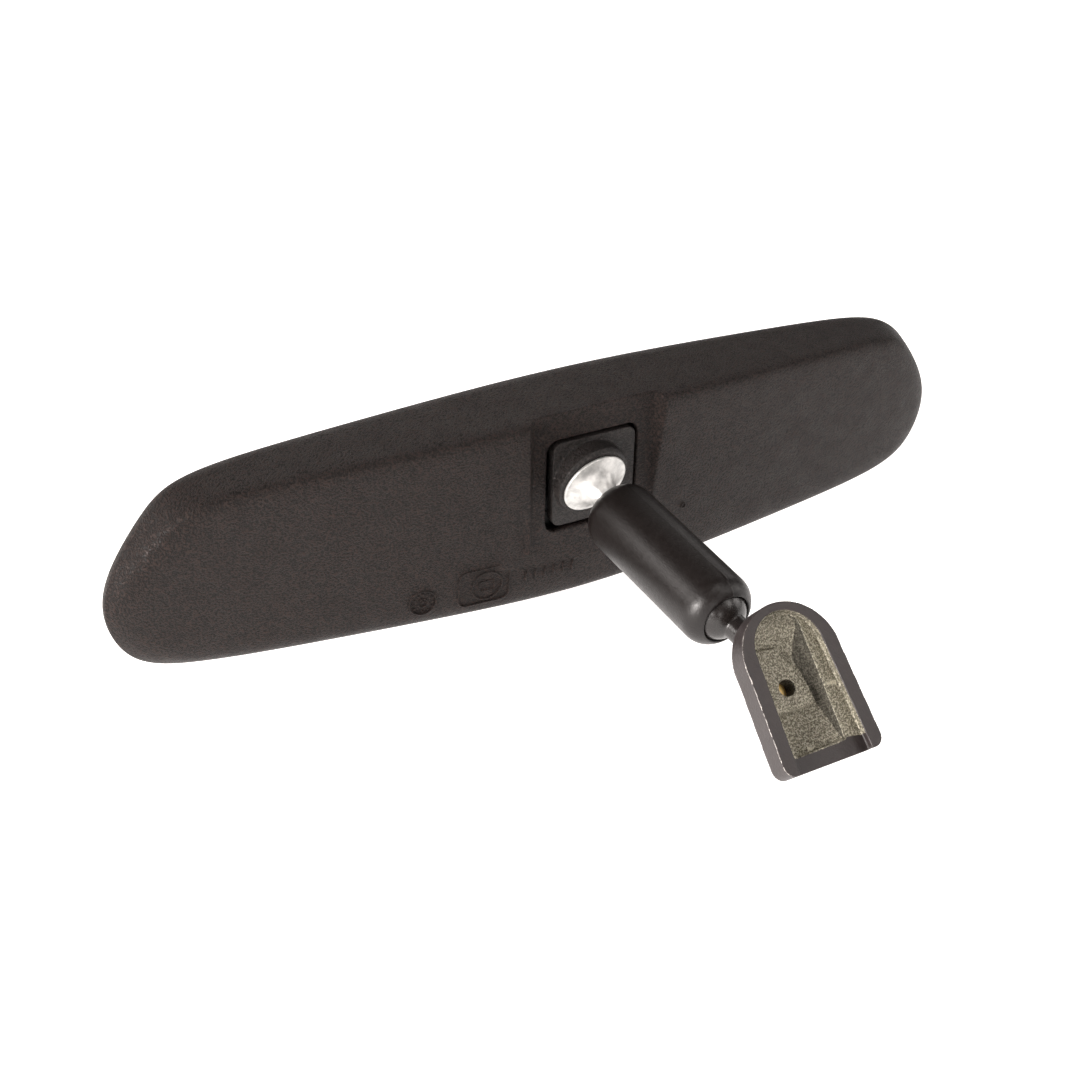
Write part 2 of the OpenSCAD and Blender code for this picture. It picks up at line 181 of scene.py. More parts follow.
def metal(name, dark, light, rough, metallic=1.0, scale=260, depth=.00003, spec=.5, aniso=(1, 1, 1), coat=0, mottled=.6, fine=1600, edge_wear_and_highlight=0.0):
    """Metal, bare, plated or painted: mottled tone, fine tooth and streaks of roughness."""
    m, nt, b = new_mat(name)
    co = coords(nt, aniso)
    a = noise(nt, scale, 5, .6, co)
    f = noise(nt, fine, 3, .6, co)
    s = noise(nt, 45, 3, .5, co)
    mott = ramp(nt, a, [(.36, dark), (.64, light)])
    slow = ramp(nt, s, [(.3, tuple(.82 * c for c in dark)), (.7, light)])
    c = mixc(nt, mottled, slow, mott)
    # convex edges are lightened: painted highlight
    if edge_wear_and_highlight:
        geo = nt.nodes.new("ShaderNodeNewGeometry")
        e = add(nt, geo.outputs["Pointiness"], f, .05)
        w = ramp(nt, e, [(.60, (0, 0, 0)), (.68, (edge_wear_and_highlight, edge_wear_and_highlight, edge_wear_and_highlight))])
        c = mixc(nt, w, c, (.55, .52, .49))
    link(nt, c, b.inputs["Base Color"])
    r = add(nt, remap(nt, a, rough - .06, rough + .08), f, .08)
    link(nt, r, b.inputs["Roughness"])
    b.inputs["Metallic"].default_value = metallic
    b.inputs["Specular IOR Level"].default_value = spec
    if coat:
        b.inputs["Coat Weight"].default_value = coat
        b.inputs["Coat Roughness"].default_value = .12
    h = add(nt, f, a, .8)
    bump(nt, b, h, depth * 2)
    return m


def casting(name, dark, mid, light, rough):
    """Bare die casting: sharp speckle, faint rings from the cutter, slow stains, and a painted highlight on convex
    edges.
    """
    m, nt, b = new_mat(name)
    co = coords(nt)
    f = noise(nt, 2700, 3, .62, co)
    s = noise(nt, 140, 4, .6, co)
    wv = nt.nodes.new("ShaderNodeTexWave")
    wv.wave_type = "RINGS"
    wv.rings_direction = "SPHERICAL"
    for k, v in (("Scale", 260), ("Distortion", 9), ("Detail", 3), ("Detail Scale", 1.6)):
        wv.inputs[k].default_value = v
    link(nt, co, wv.inputs["Vector"])
    h = add(nt, f, wv.outputs["Fac"], .07)
    speck = ramp(nt, h, [(.44, dark), (.53, mid), (.66, light)])
    stain = ramp(nt, s, [(.34, mid), (.66, tuple(1.25 * c for c in mid))])
    # convex edges found by pointiness are lightened: painted highlight
    geo = nt.nodes.new("ShaderNodeNewGeometry")
    e = ramp(nt, add(nt, geo.outputs["Pointiness"], f, .06), [(.555, (0, 0, 0)), (.60, (.7, .7, .7))])
    c = mixc(nt, e, mixc(nt, .72, stain, speck), tuple(1.25 * c for c in light))
    link(nt, c, b.inputs["Base Color"])
    link(nt, add(nt, remap(nt, s, rough - .05, rough + .07), f, .1), b.inputs["Roughness"])
    b.inputs["Metallic"].default_value = .5
    bump(nt, b, h, .0003)
    return m


M = {}
M["housing"] = plastic("housing_plastic", (.0066, .0039, .0032), (.0120, .0075, .0062), .40, grain=1650, depth=.00020, spec=.20, tone=.85)
# bracket edges lightened: partly wear, partly painted highlight
M["bracket"] = plastic("black_nylon", (.0050, .0034, .0029), (.0105, .0080, .0072), .40, grain=1700, depth=.00016, spec=.33, tone=.8, edge_wear_and_highlight=.3)
M["lever"] = plastic("lever_plastic", (.0125, .0112, .0106), (.0190, .0170, .0162), .4, grain=2300, depth=.00004, tone=.35)
M["carrier"] = plastic("grey_nylon", (.055, .055, .058), (.085, .085, .09), .5, grain=1800, depth=.00004, tone=.3)
M["acetal"] = plastic("acetal", (.62, .61, .55), (.76, .75, .70), .38, grain=2600, depth=.00002, tone=.15)
M["backing"] = plastic("backing_film", (.018, .018, .02), (.03, .03, .033), .6, grain=900, depth=.00003, tone=.3)
M["rubber"] = plastic("rubber", (.012, .012, .012), (.02, .02, .02), .72, grain=2100, depth=.00005, tone=.3)
M["foam"] = plastic("foam", (.03, .03, .033), (.075, .075, .08), .9, grain=1100, depth=.0004, tone=.8)
M["tube"] = metal("tube_paint", (.0056, .0038, .0034), (.0082, .0060, .0054), .30, metallic=0, scale=900, depth=.00003, spec=.40, mottled=.4, fine=2600)
M["paint"] = metal("foot_paint", (.0215, .0160, .0155), (.034, .0265, .0260), .38, metallic=0, scale=420, depth=.00004, spec=.55, mottled=.6, fine=1500)
# light metallic finish used as a painted highlight along the foot's left rim edge
M["left_rim_highlight"] = metal("painted_rim_highlight", (.045, .037, .035), (.52, .49, .46), .34, metallic=.4, scale=900, depth=.00003, mottled=.95, fine=1500)
M["neck"] = metal("neck_paint", (.0090, .0068, .0062), (.0135, .0108, .0100), .22, metallic=0, scale=600, depth=.00002, spec=.6, mottled=.4)
M["bare"] = casting("bare_casting", (.070, .064, .048), (.235, .217, .168), (.64, .60, .48), .38)
# darker copy of the bare casting, used as painted shade on the pocket's steep left-facing faces
M["painted_shade_casting"] = casting("shaded_casting_paint", (.030, .028, .021), (.082, .075, .059), (.19, .176, .14), .55)
M["zinc"] = metal("bright_zinc", (.42, .42, .41), (.80, .79, .765), .34, metallic=.62, scale=420, depth=.00003, mottled=.7, fine=900)
M["pin"] = metal("pin_steel", (.42, .42, .43), (.62, .62, .63), .28, scale=700, depth=.00001, aniso=(.15, 1, 1))
M["spring"] = metal("spring_steel", (.30, .30, .31), (.46, .46, .47), .33, scale=900, depth=.00001)
M["clip"] = metal("clip_steel", (.05, .05, .052), (.10, .10, .105), .4, scale=800, depth=.00002)
M["brass"] = metal("brass", (.55, .36, .12), (.82, .60, .26), .3, scale=700, depth=.00002)


def mirror_mat():
    m, nt, b = new_mat("mirror_glass")
    co = coords(nt)
    a = noise(nt, 14, 3, .5, co)
    link(nt, ramp(nt, a, [(.3, (.80, .825, .84)), (.7, (.86, .88, .89))]), b.inputs["Base Color"])
    link(nt, remap(nt, noise(nt, 60, 4, .6, co), .015, .035), b.inputs["Roughness"])
    b.inputs["Metallic"].default_value = 1
    b.inputs["Coat Weight"].default_value = .6
    b.inputs["Coat Roughness"].default_value = .02
    return m


def edge_mat():
    m, nt, b = new_mat("glass_edge")
    co = coords(nt)
    a = noise(nt, 500, 4, .6, co)
    link(nt, ramp(nt, a, [(.3, (.10, .16, .14)), (.7, (.20, .29, .26))]), b.inputs["Base Color"])
    link(nt, remap(nt, a, .25, .45), b.inputs["Roughness"])
    bump(nt, b, a, .00005)
    return m


M["mirror"] = mirror_mat()
M["edge"] = edge_mat()


# ------------------------------------------------------------------ mesh helpers
def obj_from(name, verts, faces, mm=True):
    v = row(verts) if mm else np.asarray(verts, float)
    me = bpy.data.meshes.new(name)
    me.from_pydata([tuple(p) for p in v], [], [tuple(int(i) for i in f) for f in faces])
    me.update()
    o = bpy.data.objects.new(name, me)
    bpy.context.scene.collection.objects.link(o)
    return o


def bake(o):
    """Applies o's modifiers."""
    dg = bpy.context.evaluated_depsgraph_get()
    me = bpy.data.meshes.new_from_object(o.evaluated_get(dg))
    old = o.data
    o.modifiers.clear()
    o.data = me
    me.name = o.name
    bpy.data.meshes.remove(old)


def drop(*objs):
    for o in objs:
        me = o.data
        bpy.data.objects.remove(o)
        bpy.data.meshes.remove(me)


def smooth(o, angle=None):
    o.data.polygons.foreach_set("use_smooth", [True] * len(o.data.polygons))
    if angle is not None:
        o.data.set_sharp_from_angle(angle=math.radians(angle))


def finish_piece(o, body, replaces, mat, angle=None, flat=False):
    if mat:
        o.data.materials.clear()
        o.data.materials.append(M[mat])
    if not flat:
        smooth(o, angle)
    if replaces:
        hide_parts(*replaces)
    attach(o, body)
    return o


def remesh(o, voxel, it=3, factor=.5, keep=None):
    """Turns sharp machine edges into small cast or moulded radii."""
    r = o.modifiers.new("r", "REMESH")
    r.mode = "VOXEL"
    r.voxel_size = voxel * MM
    r.adaptivity = 0
    bake(o)
    s = o.modifiers.new("s", "SMOOTH")
    s.factor = factor
    s.iterations = it
    if keep:
        d = o.modifiers.new("d", "DECIMATE")
        d.ratio = keep
    bake(o)


def copy_node(node, name):
    o = bpy.data.objects.new(name, nodes[node].data.copy())
    o.data.materials.clear()
    bpy.context.scene.collection.objects.link(o)
    return o


def cut(o, c, op="DIFFERENCE"):
    b = o.modifiers.new("b", "BOOLEAN")
    b.operation = op
    b.solver = "MANIFOLD"
    b.object = c
    bake(o)
    drop(c)


def prism_y(outline, a, b):
    """Closed prism along Y from an (x, z) outline in head millimetres."""
    n = len(outline)
    v = [(x, a, z) for x, z in outline] + [(x, b, z) for x, z in outline]
    f = [list(range(n))[::-1], list(range(n, 2 * n))] + [[i, (i + 1) % n, n + (i + 1) % n, n + i] for i in range(n)]
    o = obj_from("tmp", v, f)
    bm = bmesh.new()
    bm.from_mesh(o.data)
    bmesh.ops.recalc_face_normals(bm, faces=bm.faces)
    bm.to_mesh(o.data)
    bm.free()
    return o


def prism_z(outline, a, b):
    """Closed prism along Z from an (x, y) outline in head millimetres."""
    o = prism_y([(x, y) for x, y in outline], a, b)
    for v in o.data.vertices:
        p = np.array(v.co) / MM + SEAT
        v.co = row((p[0], p[2], p[1]))
    bm = bmesh.new()
    bm.from_mesh(o.data)
    bmesh.ops.recalc_face_normals(bm, faces=bm.faces)
    bm.to_mesh(o.data)
    bm.free()
    return o


def rounded(x0, z0, x1, z1, r, k=8):
    out = []
    for cx, cz, a in ((x1 - r, z1 - r, 0), (x0 + r, z1 - r, 90), (x0 + r, z0 + r, 180), (x1 - r, z0 + r, 270)):
        for i in range(k + 1):
            t = math.radians(a + 90 * i / k)
            out.append((cx + r * math.cos(t), cz + r * math.sin(t)))
    return out


def basis(direction):
    """Right-handed axes with Z along direction."""
    z = np.array(direction, float) / np.linalg.norm(direction)
    x = np.cross((0, 0, 1), z)
    x /= np.linalg.norm(x)
    return x, np.cross(z, x), z


def dirv(yaw, pitch):
    y, p = math.radians(yaw), math.radians(pitch)
    return np.array([math.sin(y) * math.cos(p), -math.cos(y) * math.cos(p), -math.sin(p)])


def revolve(name, prof, centre, direction, n=160, wobble=None, closed=True):
    """Turns an (r, z) loop about direction through centre. wobble(angle, r, z) adds to r."""
    x, y, z = basis(direction)
    verts, faces, ring = [], [], []
    for r, h in prof:
        if r < 1e-6:
            ring.append([len(verts)])
            verts.append(np.array(centre) + h * z)
        else:
            ids = []
            for i in range(n):
                a = 2 * math.pi * i / n
                rr = r + (wobble(a, r, h) if wobble else 0)
                ids.append(len(verts))
                verts.append(np.array(centre) + h * z + rr * (math.cos(a) * x + math.sin(a) * y))
            ring.append(ids)
    m = len(ring)
    for k in range(m if closed else m - 1):
        a, b = ring[k], ring[(k + 1) % m]
        if len(a) == 1 and len(b) == 1:
            continue
        for i in range(n):
            j = (i + 1) % n
            if len(a) == 1:
                faces.append((a[0], b[j], b[i]))
            elif len(b) == 1:
                faces.append((a[i], a[j], b[0]))
            else:
                faces.append((a[i], a[j], b[j], b[i]))
    o = obj_from(name, verts, faces)
    bm = bmesh.new()
    bm.from_mesh(o.data)
    bmesh.ops.recalc_face_normals(bm, faces=bm.faces)
    bm.to_mesh(o.data)
    bm.free()
    return o


def arc(cr, cz, r, a0, a1, k):
    return [(cr + r * math.cos(math.radians(a0 + (a1 - a0) * i / k)), cz + r * math.sin(math.radians(a0 + (a1 - a0) * i / k))) for i in range(k + 1)]


def sweep(name, pts, r, sides=12, closed=False):
    """A round wire along points in head millimetres."""
    pts = [np.array(p, float) for p in pts]
    n = len(pts)
    verts, faces = [], []
    up = np.array([0, 0, 1.0])
    for i, p in enumerate(pts):
        a = pts[(i - 1) % n] if (closed or i) else p
        b = pts[(i + 1) % n] if (closed or i < n - 1) else p
        t = b - a
        t /= np.linalg.norm(t)
        u = np.cross(t, up)
        if np.linalg.norm(u) < .05:
            u = np.cross(t, (1, 0, 0))
        u /= np.linalg.norm(u)
        w = np.cross(u, t)
        for j in range(sides):
            q = 2 * math.pi * j / sides
            verts.append(p + r * (math.cos(q) * u + math.sin(q) * w))
    for i in range(n if closed else n - 1):
        k = (i + 1) % n
        for j in range(sides):
            l = (j + 1) % sides
            faces.append((i * sides + j, i * sides + l, k * sides + l, k * sides + j))
    if not closed:
        faces.append(list(range(sides)))
        faces.append([(n - 1) * sides + j for j in range(sides)][::-1])
    o = obj_from(name, verts, faces)
    bm = bmesh.new()
    bm.from_mesh(o.data)
    bmesh.ops.recalc_face_normals(bm, faces=bm.faces)
    bm.to_mesh(o.data)
    bm.free()
    return o


# ------------------------------------------------------------------ housing shape, as in the CAD
P1, P2, KX, EB, KZ, DEPTH, WALL = 13.85, 22, .143, .35, -.117, 18.0, 2.2
SIDES = [(90 - 3.318, 31.24, .164), (-90 + 5.415, 39.19, .581), (-24.6, 125.08, 1.082), (41.04, 98.19, .298), (-48.54, 108.16, .418)]
PLANES = []
for flip in (0, 1):
    for ang, d, s in SIDES:
        a = math.radians(180 - ang if flip else ang)
        PLANES.append((np.array([math.cos(a), s, math.sin(a)]), d, math.sqrt(1 + s * s)))


def G(v, w):
    g = 0
    for n, d, l in PLANES:
        g = g + np.maximum(0, v @ n / (d - w * l)) ** P1
    return g ** (1 / P1)


def B(v, w):
    return np.maximum(0, (v[..., 1] + KZ * v[..., 2] + np.sqrt((KX * v[..., 0]) ** 2 + (EB * v[..., 1]) ** 2)) / ((DEPTH - w) * (1 + EB)))


def skin(v, w):
    f = (G(v, w) ** P2 + B(v, w) ** P2) ** (1 / P2)
    p = v / f[..., None]
    p[..., 1] *= -1
    return p


def back_y(x, z):
    K = DEPTH * (1 + EB) - KZ * z
    return -(K - math.sqrt(EB * EB * K * K + (1 - EB * EB) * KX * KX * x * x)) / (1 - EB * EB)


def outline(n, w):
    t = np.linspace(0, 2 * np.pi, n, endpoint=False)
    v = np.stack([125 * np.cos(t), 0 * t, 32 * np.sin(t)], -1)
    p = v / G(v, w)[:, None]
    return p[:, 0], p[:, 2]


def housing_skin(n=560):
    t = np.linspace(0, 2 * np.pi, n, endpoint=False)
    rim = np.stack([125 * np.cos(t), 0 * t, 32 * np.sin(t)], -1)
    apex = np.array([-1.2, -back_y(-1.2, 5.8), 5.8])
    lo, hi = np.zeros(n), np.ones(n)
    for _ in range(24):
        m = (lo + hi) / 2
        v = (1 - m)[:, None] * rim + m[:, None] * apex
        over = B(v, 0) > G(v, 0)
        hi = np.where(over, m, hi)
        lo = np.where(over, lo, m)
    c = (lo + hi) / 2
    rings = []

    def ring(s, w):
        v = (1 - s)[:, None] * rim + s[:, None] * apex
        return skin(v, w)
    inner = [0, .03, .07, .12, .18, .25, .33, .42, .52, .62, .72, .82, .92, .98]
    for u in (.998, .96, .9, .82, .74, .66, .58, .5, .42, .35, .28, .22, .17, .13, .1, .075, .055, .04, .028, .018, .01, .004, 0):
        rings.append(ring(c + (1 - c) * u, 0))
    for u in (.99, .975, .955, .93, .9, .86, .81, .75, .68, .6, .5, .4, .3, .2, .1, 0):
        rings.append(ring(c * u, 0))
    for w, y in ((0, .5), (0, 1), (.04, 1.55), (.12, 2.1), (.27, 2.62), (.5, 3.1), (.82, 3.52), (1.2, 3.85), (1.68, 4.12), (2.2, 4.3), (2.8, 4.38),
                 (3.4, 4.38), (3.8, 4.27), (4.1, 4.1), (4.26, 3.86), (4.3, 3.6), (4.3, 3.35), (WALL, 3.35), (WALL, 1.6)):
        x, z = outline(n, w)
        rings.append(np.stack([x, 0 * x + y, z], -1))
    for u in (0, .25, .5, .75, .9, 1):
        rings.append(ring(c * u, WALL))
    for u in (.02, .06, .15, .3, .5, .75, .998):
        rings.append(ring(c + (1 - c) * u, WALL))
    m = len(rings)
    verts = np.concatenate(rings)
    faces = []
    for k in range(m - 1):
        for i in range(n):
            j = (i + 1) % n
            faces.append((k * n + i, k * n + j, (k + 1) * n + j, (k + 1) * n + i))
    a, b = len(verts), len(verts) + 1
    verts = np.concatenate([verts, [rings[0].mean(0)], [rings[-1].mean(0)]])
    for i in range(n):
        j = (i + 1) % n
        faces.append((a, j, i))
        faces.append((b, (m - 1) * n + i, (m - 1) * n + j))
    o = obj_from("housing_shell", verts, faces)
    bm = bmesh.new()
    bm.from_mesh(o.data)
    bmesh.ops.recalc_face_normals(bm, faces=bm.faces)
    bm.to_mesh(o.data)
    bm.free()
    return o


PAD_Y = -16.5
POSTS = [(-25, 15), (23, 15), (-25, -13), (23, -13)]


def circle(cx, cz, r, k=40):
    return [(cx + r * math.cos(2 * math.pi * i / k), cz + r * math.sin(2 * math.pi * i / k)) for i in range(k)]


def build_housing():
    o = housing_skin()
    cut(o, prism_y(rounded(-20.5, -13, 18.4, 25.4, 1), -17.4, -14.3), "UNION")
    for x, z in POSTS:
        cut(o, prism_y(circle(x, z, 3), -16.2, -6.82), "UNION")
    # sunk panel, its right side leaning out a little towards the bottom
    cut(o, prism_z([(-19.3, PAD_Y), (17.2, PAD_Y), (19.3, PAD_Y - 3), (19.3, -40), (-21.4, -40), (-21.4, PAD_Y - 3)], -17.6, 52.4))
    cut(o, prism_y(rounded(-14.9, -7.6, 12.5, 19.2, 3), -30, -10))
    for x, z in POSTS:
        cut(o, prism_y(circle(x, z, 1.2, 24), -14.2, -4))
    cut(o, prism_y([(-16, -45), (9.4, -45), (9.4, -35), (-16, -35)], -9.8, 10.2))
    cut(o, prism_y([(-16, -45), (9.4, -45), (9.4, -29.2), (-16, -29.2)], -9.8, 0))
    cut(o, prism_y([(-16, -45), (9.4, -45), (9.4, -33.4), (-16, -33.4)], -9.8, 3.3))
    remesh(o, .42, it=3, factor=.5, keep=.42)
    return o


housing = build_housing()
finish_piece(housing, "head", ["housing"], "housing")


# shallow moulded-in marks with no lettering: a tool date dial, a plain ring in a frame, and a row of ticks
def on_back(x, z, lift=.0):
    return (x, back_y(x, z) - lift, z)


def mark(name, pts, r=.2, closed=True):
    o = sweep(name, [on_back(x, z, .02) for x, z in pts], r, 8, closed)
    return finish_piece(o, "head", [], "housing")


def join(name, objs):
    bm = bmesh.new()
    for o in objs:
        bm.from_mesh(o.data)
    me = bpy.data.meshes.new(name)
    bm.to_mesh(me)
    bm.free()
    drop(*objs)
    o = bpy.data.objects.new(name, me)
    bpy.context.scene.collection.objects.link(o)
    return o


def marks():
    parts = []

    def line(pts, r=.2, closed=True):
        parts.append(sweep("t", [on_back(x, z, .05) for x, z in pts], r, 8, closed))
    cx, cz = -49.5, -20.5
    line(circle(cx, cz, 3.7, 56), .27)
    line(circle(cx, cz, 1.3, 28), .23)
    for i in range(12):
        a = math.radians(30 * i)
        line([(cx + q * math.cos(a), cz + q * math.sin(a)) for q in (2.5, 3.1)], .2, False)
    line([(cx, cz - .1), (cx + .1, cz + 1.0)], .22, False)
    cx, cz = -31.5, -19.5
    line(circle(cx, cz, 4.3, 64), .27)
    line(rounded(cx - 8.0, cz - 5.4, cx + 6.4, cz + 5.6, 2.2), .24)
    line(rounded(cx - 2.2, cz - 1.5, cx + 2.2, cz + 1.5, .7), .22)
    for i in range(6):
        x = -20.2 + 2.8 * i
        line([(x, -21.2), (x, -18.0)], .3, False)
    line(circle(29.3, -10.9, .75, 24), .2)
    return join("moulded_marks", parts)


finish_piece(marks(), "head", [], "housing")


# ------------------------------------------------------------------ glass
def glass(name, w, front, thick, wedge, chamfer, n=560):
    """Wedge glass with ground edges: flat front, and a rear face that leans by the wedge angle."""
    tan = math.tan(math.radians(wedge))

    def rear(z):
        return front - thick - (z + 34.1) * tan
    rings = []
    for inset, side, k in ((chamfer, "f", 0), (0, "f", chamfer), (0, "r", chamfer), (chamfer, "r", 0)):
        x, z = outline(n, w + inset)
        y = np.full(n, front - k) if side == "f" else rear(z) + k
        rings.append(np.stack([x, y, z], -1))
    verts = np.concatenate(rings + [np.array([[0, front, -3.0]]), np.array([[0, rear(-3.0), -3.0]])])
    faces, mats = [], []
    for k in range(3):
        for i in range(n):
            j = (i + 1) % n
            faces.append((k * n + i, k * n + j, (k + 1) * n + j, (k + 1) * n + i))
            mats.append(1)
    for i in range(n):
        j = (i + 1) % n
        faces.append((4 * n, j, i))
        faces.append((4 * n + 1, 3 * n + i, 3 * n + j))
        mats += [0, 0]
    o = obj_from(name, verts, faces)
    bm = bmesh.new()
    bm.from_mesh(o.data)
    bmesh.ops.recalc_face_normals(bm, faces=bm.faces)
    bm.to_mesh(o.data)
    bm.free()
    o.data.materials.append(M["mirror"])
    o.data.materials.append(M["edge"])
    o.data.polygons.foreach_set("material_index", mats)
    return o


finish_piece(glass("silvered_wedge_glass", 3.7, 3.3, 2.2, 2.9, .35), "head", ["mirror_glass"], None, angle=20)

# ------------------------------------------------------------------ arm
HB = np.array([-1.8, -32.4, 2.1])
TD = dirv(1.8, 6.5)
LEN = 41.6
MB = HB + LEN * TD
TR, FR, TE = 9.6, 5.9, 5.0


def tube_profile():
    p = []
    c = TR - FR
    # outside, from the head mouth to the foot mouth
    z_head, z_foot = -TE + FR, LEN + TE - FR
    lip = 4.05
    s = math.degrees(math.asin(min(1, (lip + z_head) / FR)))
    out = arc(c, z_head, FR, -s, 0, 18) + [(TR, z_head + (z_foot - z_head) * k / 24) for k in range(1, 24)] + arc(c, z_foot, FR, 0, s, 18)
    p += out
    # foot mouth: rolled lip, then the ball seat, the bore, and the same back to the head mouth
    re = out[-1][0]
    p += [(re - .12, LEN + lip + .05), (re - .3, LEN + lip + .02), (6.52, LEN + 4.0), (6.34, LEN + 3.6)]
    p += arc(0, LEN, 7.3, 29, 5, 8)
    p += [(7.3, LEN + .55), (8.35, LEN + .5), (8.35, LEN / 2), (8.35, -.5), (7.3, -.55)]
    p += arc(0, 0, 7.3, -5, -29, 8)
    p += [(6.34, -3.6), (6.52, -4.0), (out[0][0] - .3, -lip - .02), (out[0][0] - .12, -lip - .05)]
    return p


def seam(a, r, h):
    """A faint parting line along one side of the tube."""
    if r < 6.6 or r == 8.35:
        return 0
    d = (a - SEAM + math.pi) % (2 * math.pi) - math.pi
    k = min(1, max(.25, (h - LEN * .8) / 6))
    return .12 * k * math.exp(-(d * r / .2) ** 2)


SEAM = math.radians(84)
tube = revolve("ball_arm_tube", tube_profile(), HB, TD, 320, seam)
finish_piece(tube, "arm", ["arm_tube"], "tube", angle=35)

# spring, two turns ground flat at each end
sx, sy, sz = basis(TD)
pts = []
W0, W1 = 10.8 + .85 + .02, LEN - 10.8 - .85 - .1
for k in range(721):
    u = k / 720
    a = 2 * math.pi * 8 * u
    if u < .125:
        h = W0 + 0 * u
    elif u > .875:
        h = W1
    else:
        h = W0 + (W1 - W0) * (u - .125) / .75
    h += (.0 if .125 < u < .875 else 0)
    pts.append(HB + h * sz + 6.3 * (math.cos(a) * sx + math.sin(a) * sy))
finish_piece(sweep("arm_coil", pts, .82, 12), "arm", ["arm_spring"], "spring")

# ------------------------------------------------------------------ head stud: flare, neck and ball in one turned piece
FL = np.array([-2.4, -20.3, 6.07])
SD = dirv(2.84, 18.1)
SL = float(np.linalg.norm(HB - FL))


def stud_profile():
    p = [(0, -10.6), (4.3, -10.6), (4.75, -10.45), (4.85, -10.15), (3.5, -9.4), (3.48, -9.2), (3.48, -.85), (8.6, -.8), (9.05, -.72), (9.22, -.5), (9.25, -.2), (9.18, .02), (8.98, .12), (8.72, .1)]
    # concave trumpet up to the neck
    cr, cz, r = 10.5, 7.0, 7.2
    a0 = math.degrees(math.atan2(.12 - cz, 8.5 - cr)) + 360
    q = arc(cr, cz, r, a0, 180, 26)
    p += [(max(3.25, a), b) for a, b in q if b > .02]
    ball = math.degrees(math.asin(3.25 / 7.2))
    p += [(3.25, SL - 7.2 * math.cos(math.radians(ball)) - .25)]
    p += [(7.2 * math.sin(math.radians(t)), SL - 7.2 * math.cos(math.radians(t))) for t in np.linspace(ball + 2, 176, 40)]
    p += [(0, SL + 7.2)]
    return p


stud = revolve("flared_ball_stud", stud_profile(), FL, SD, 192, closed=False)
finish_piece(stud, "bracket", ["head_ball_stud"], "zinc", angle=50)

# ------------------------------------------------------------------ bracket plate, lever and carrier with moulded radii
br = copy_node("toggle_bracket", "bracket_plate")
remesh(br, .2, it=8, keep=.5)
finish_piece(br, "bracket", ["toggle_bracket"], "bracket")

lv = copy_node("toggle_lever", "flip_lever")
remesh(lv, .16, it=3, keep=.5)
finish_piece(lv, "lever", ["toggle_lever"], "lever")

ca = copy_node("mechanism_carrier", "carrier_plate")
remesh(ca, .22, it=2, keep=.45)
finish_piece(ca, "head", ["mechanism_carrier"], "carrier")

# ------------------------------------------------------------------ foot
ft = copy_node("windshield_mount", "windscreen_foot")
remesh(ft, .2, it=4, factor=.5, keep=.6)
PITCH = math.radians(42.4)
fy = np.array([0, math.cos(PITCH), math.sin(PITCH)])
fz = np.array([0, -math.sin(PITCH), math.cos(PITCH)])
PO = 3.7 * fz                            # front face centre, row millimetres
n = len(ft.data.polygons)
cen = np.zeros(n * 3)
nor = np.zeros(n * 3)
ft.data.polygons.foreach_get("center", cen)
ft.data.polygons.foreach_get("normal", nor)
cen = cen.reshape(-1, 3) / MM - PO
nor = nor.reshape(-1, 3)
lx, ly, lz, nz = cen[:, 0], cen @ fy, cen @ fz, nor @ fz
half = np.where(ly > .3, np.sqrt(np.maximum(0, 12.25 ** 2 - (ly - .3) ** 2)), 12.25 + .5 * (0.3 - ly) / 23)
inside = (ly > -21.45) & (np.abs(lx) < half) & (lz < -.28) & (lz > -8.3) & (nz > -.6) & (ly > -26)
neck = (lz < -11.5) | ((cen - (row(MB) / MM - PO)) @ np.array([0, -1, 0]) < 12)
# steep left-facing faces inside the pocket get the darker casting: painted shade
shaded_steep_faces = inside & (nor[:, 0] < -.34) & (lx < 7.3) & (lz < -3.85)
# left-facing faces on the foot's left rim edge: painted highlight
left_rim_highlight = (~inside) & (nz > .45) & (nz < .93) & (lz > -.75) & (nor[:, 0] < -.15) & (lx < -8)
idx = np.where(shaded_steep_faces, 3, np.where(inside, 1, np.where(neck, 2, np.where(left_rim_highlight, 4, 0))))
for m in ("paint", "bare", "neck", "painted_shade_casting", "left_rim_highlight"):
    ft.data.materials.append(M[m])
ft.data.polygons.foreach_set("material_index", idx.astype(int).tolist())
finish_piece(ft, "mount", ["windshield_mount"], None)

# ------------------------------------------------------------------ CAD nodes that keep their shape
KEEP = {"set_screw": "brass", "mount_ball_cup": "acetal", "mount_spring_seat": "pin", "head_spring_seat": "pin", "head_ball_cup": "acetal",
        "stud_washer": "pin", "hinge_bushes": "acetal", "glass_backing": "backing", "carrier_screws": "pin", "hinge_pin": "pin", "hinge_clips": "clip",
        "anti_rattle_foam": "foam", "day_stop_bumpers": "rubber", "detent_spring": "spring", "detent_screw": "pin", "lever_axle": "pin", "link_pin": "pin"}
for k, m in KEEP.items():
    o = nodes[k]
    o.data.materials.clear()
    o.data.materials.append(M[m])

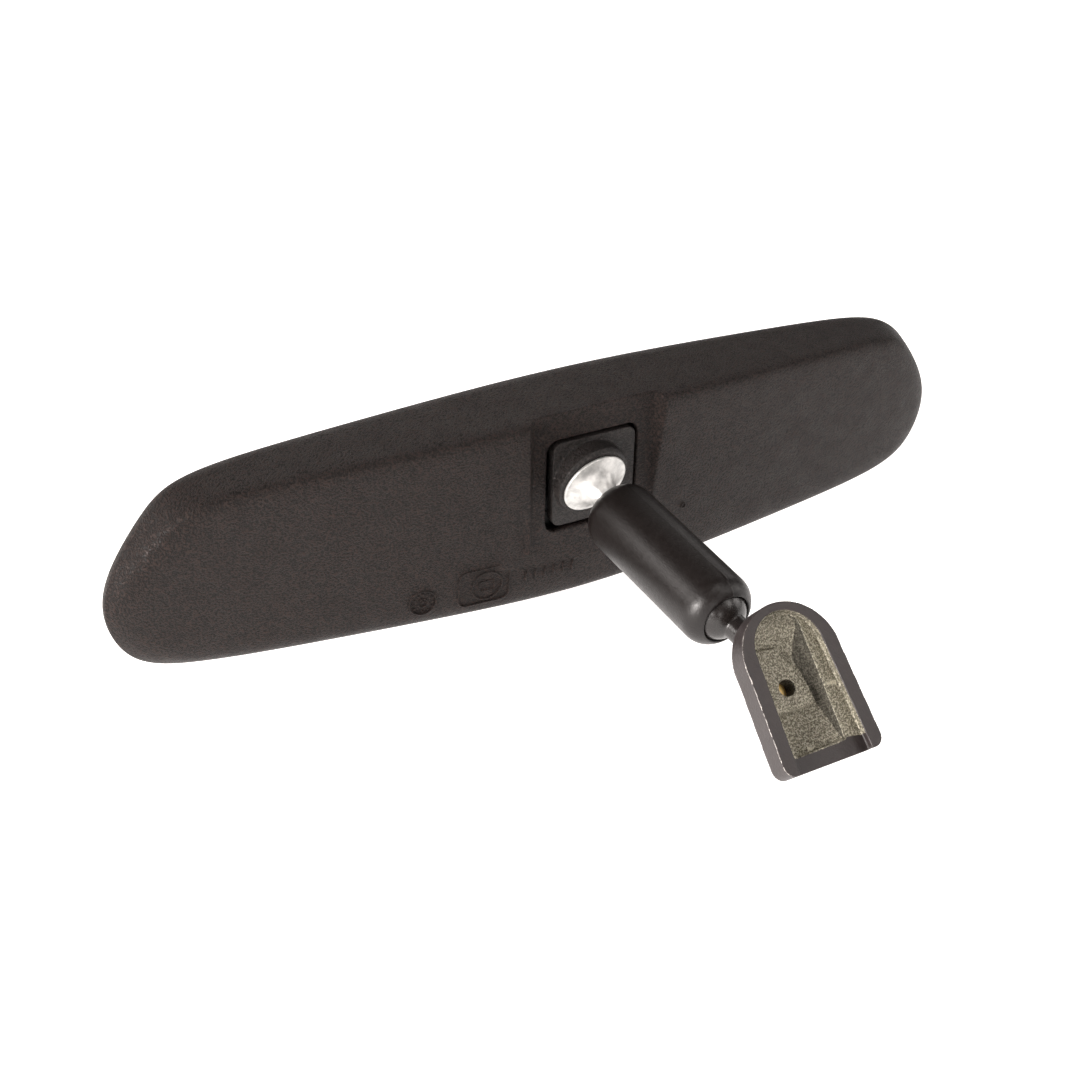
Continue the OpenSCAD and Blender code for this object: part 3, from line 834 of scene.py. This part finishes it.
# ------------------------------------------------------------------ stage
floor_z = cad_box[0][2] - .004
bm = bmesh.new()
bmesh.ops.create_grid(bm, x_segments=1, y_segments=1, size=4)
me = bpy.data.meshes.new("floor")
bm.to_mesh(me)
bm.free()
floor = bpy.data.objects.new("floor", me)
floor.location = (0, 0, floor_z)
bpy.context.scene.collection.objects.link(floor)
m, nt, b = new_mat("pale_floor")
b.inputs["Base Color"].default_value = (.9, .9, .9, 1)
b.inputs["Roughness"].default_value = .9
b.inputs["Emission Color"].default_value = (1, .965, .945, 1)
b.inputs["Emission Strength"].default_value = .88
floor.data.materials.append(m)
floor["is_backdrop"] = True

w = bpy.data.worlds.new("studio")
bpy.context.scene.world = w
w.use_nodes = True
w.node_tree.nodes["Background"].inputs["Color"].default_value = (1, .94, .91, 1)
w.node_tree.nodes["Background"].inputs["Strength"].default_value = .10


def area(name, loc, target, size, power, sy=None, colour=(1, 1, 1)):
    l = bpy.data.lights.new(name, "AREA")
    l.energy = power
    l.color = colour
    l.size = size
    if sy:
        l.shape = "RECTANGLE"
        l.size_y = sy
    o = bpy.data.objects.new(name, l)
    o.location = loc
    d = Vector(target) - Vector(loc)
    o.rotation_euler = d.to_track_quat("-Z", "Y").to_euler()
    bpy.context.scene.collection.objects.link(o)
    return o


centre = (0, .08, 0)
WARM = (1, .95, .92)
area("key_left", (-1.12, -.16, .32), centre, .5, 23, .46, WARM)
area("left_back", (-.95, .72, .47), centre, .8, 6.5, .5, WARM)
area("front_left", (-1.05, -.62, .34), centre, .4, 2.0, .3, WARM)
area("overhead", (.12, -.34, 1.15), centre, .6, 2.4, .35, WARM)
area("right_back", (1.0, .62, .55), centre, .5, 1.0, .4, WARM)
area("front_high", (.50, -.75, .85), centre, .45, 2.2, None, WARM)
area("front_low", (-.2, -1.05, .25), centre, .6, 2.6, .3, WARM)
area("right_soft", (1.0, -.35, .4), centre, .5, 2.6, None, WARM)
area("glass_side", (.35, 1.3, .45), centre, .9, 4.5, None, WARM)

# ------------------------------------------------------------------ camera
R = Vector((.86843, -.49541, .01997))
U = Vector((.24001, .45528, .85739))
K = Vector((-.43385, -.73979, .51429))
cam = bpy.data.cameras.new("camera")
cam.sensor_width = 36
cam.lens = 1663.406 / 1080 * 36
cam.clip_start = .01
co = bpy.data.objects.new("camera", cam)
mat4 = Matrix((R, U, K)).transposed().to_4x4()
mat4.translation = Vector((-.209249, -.242905, .220241))
co.matrix_world = mat4
bpy.context.scene.collection.objects.link(co)
bpy.context.scene.camera = co
bpy.context.scene.view_settings.view_transform = "Standard"

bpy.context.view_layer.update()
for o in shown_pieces():
    print("PIECE", o.name, len(o.data.polygons) if o.type == "MESH" else 0)
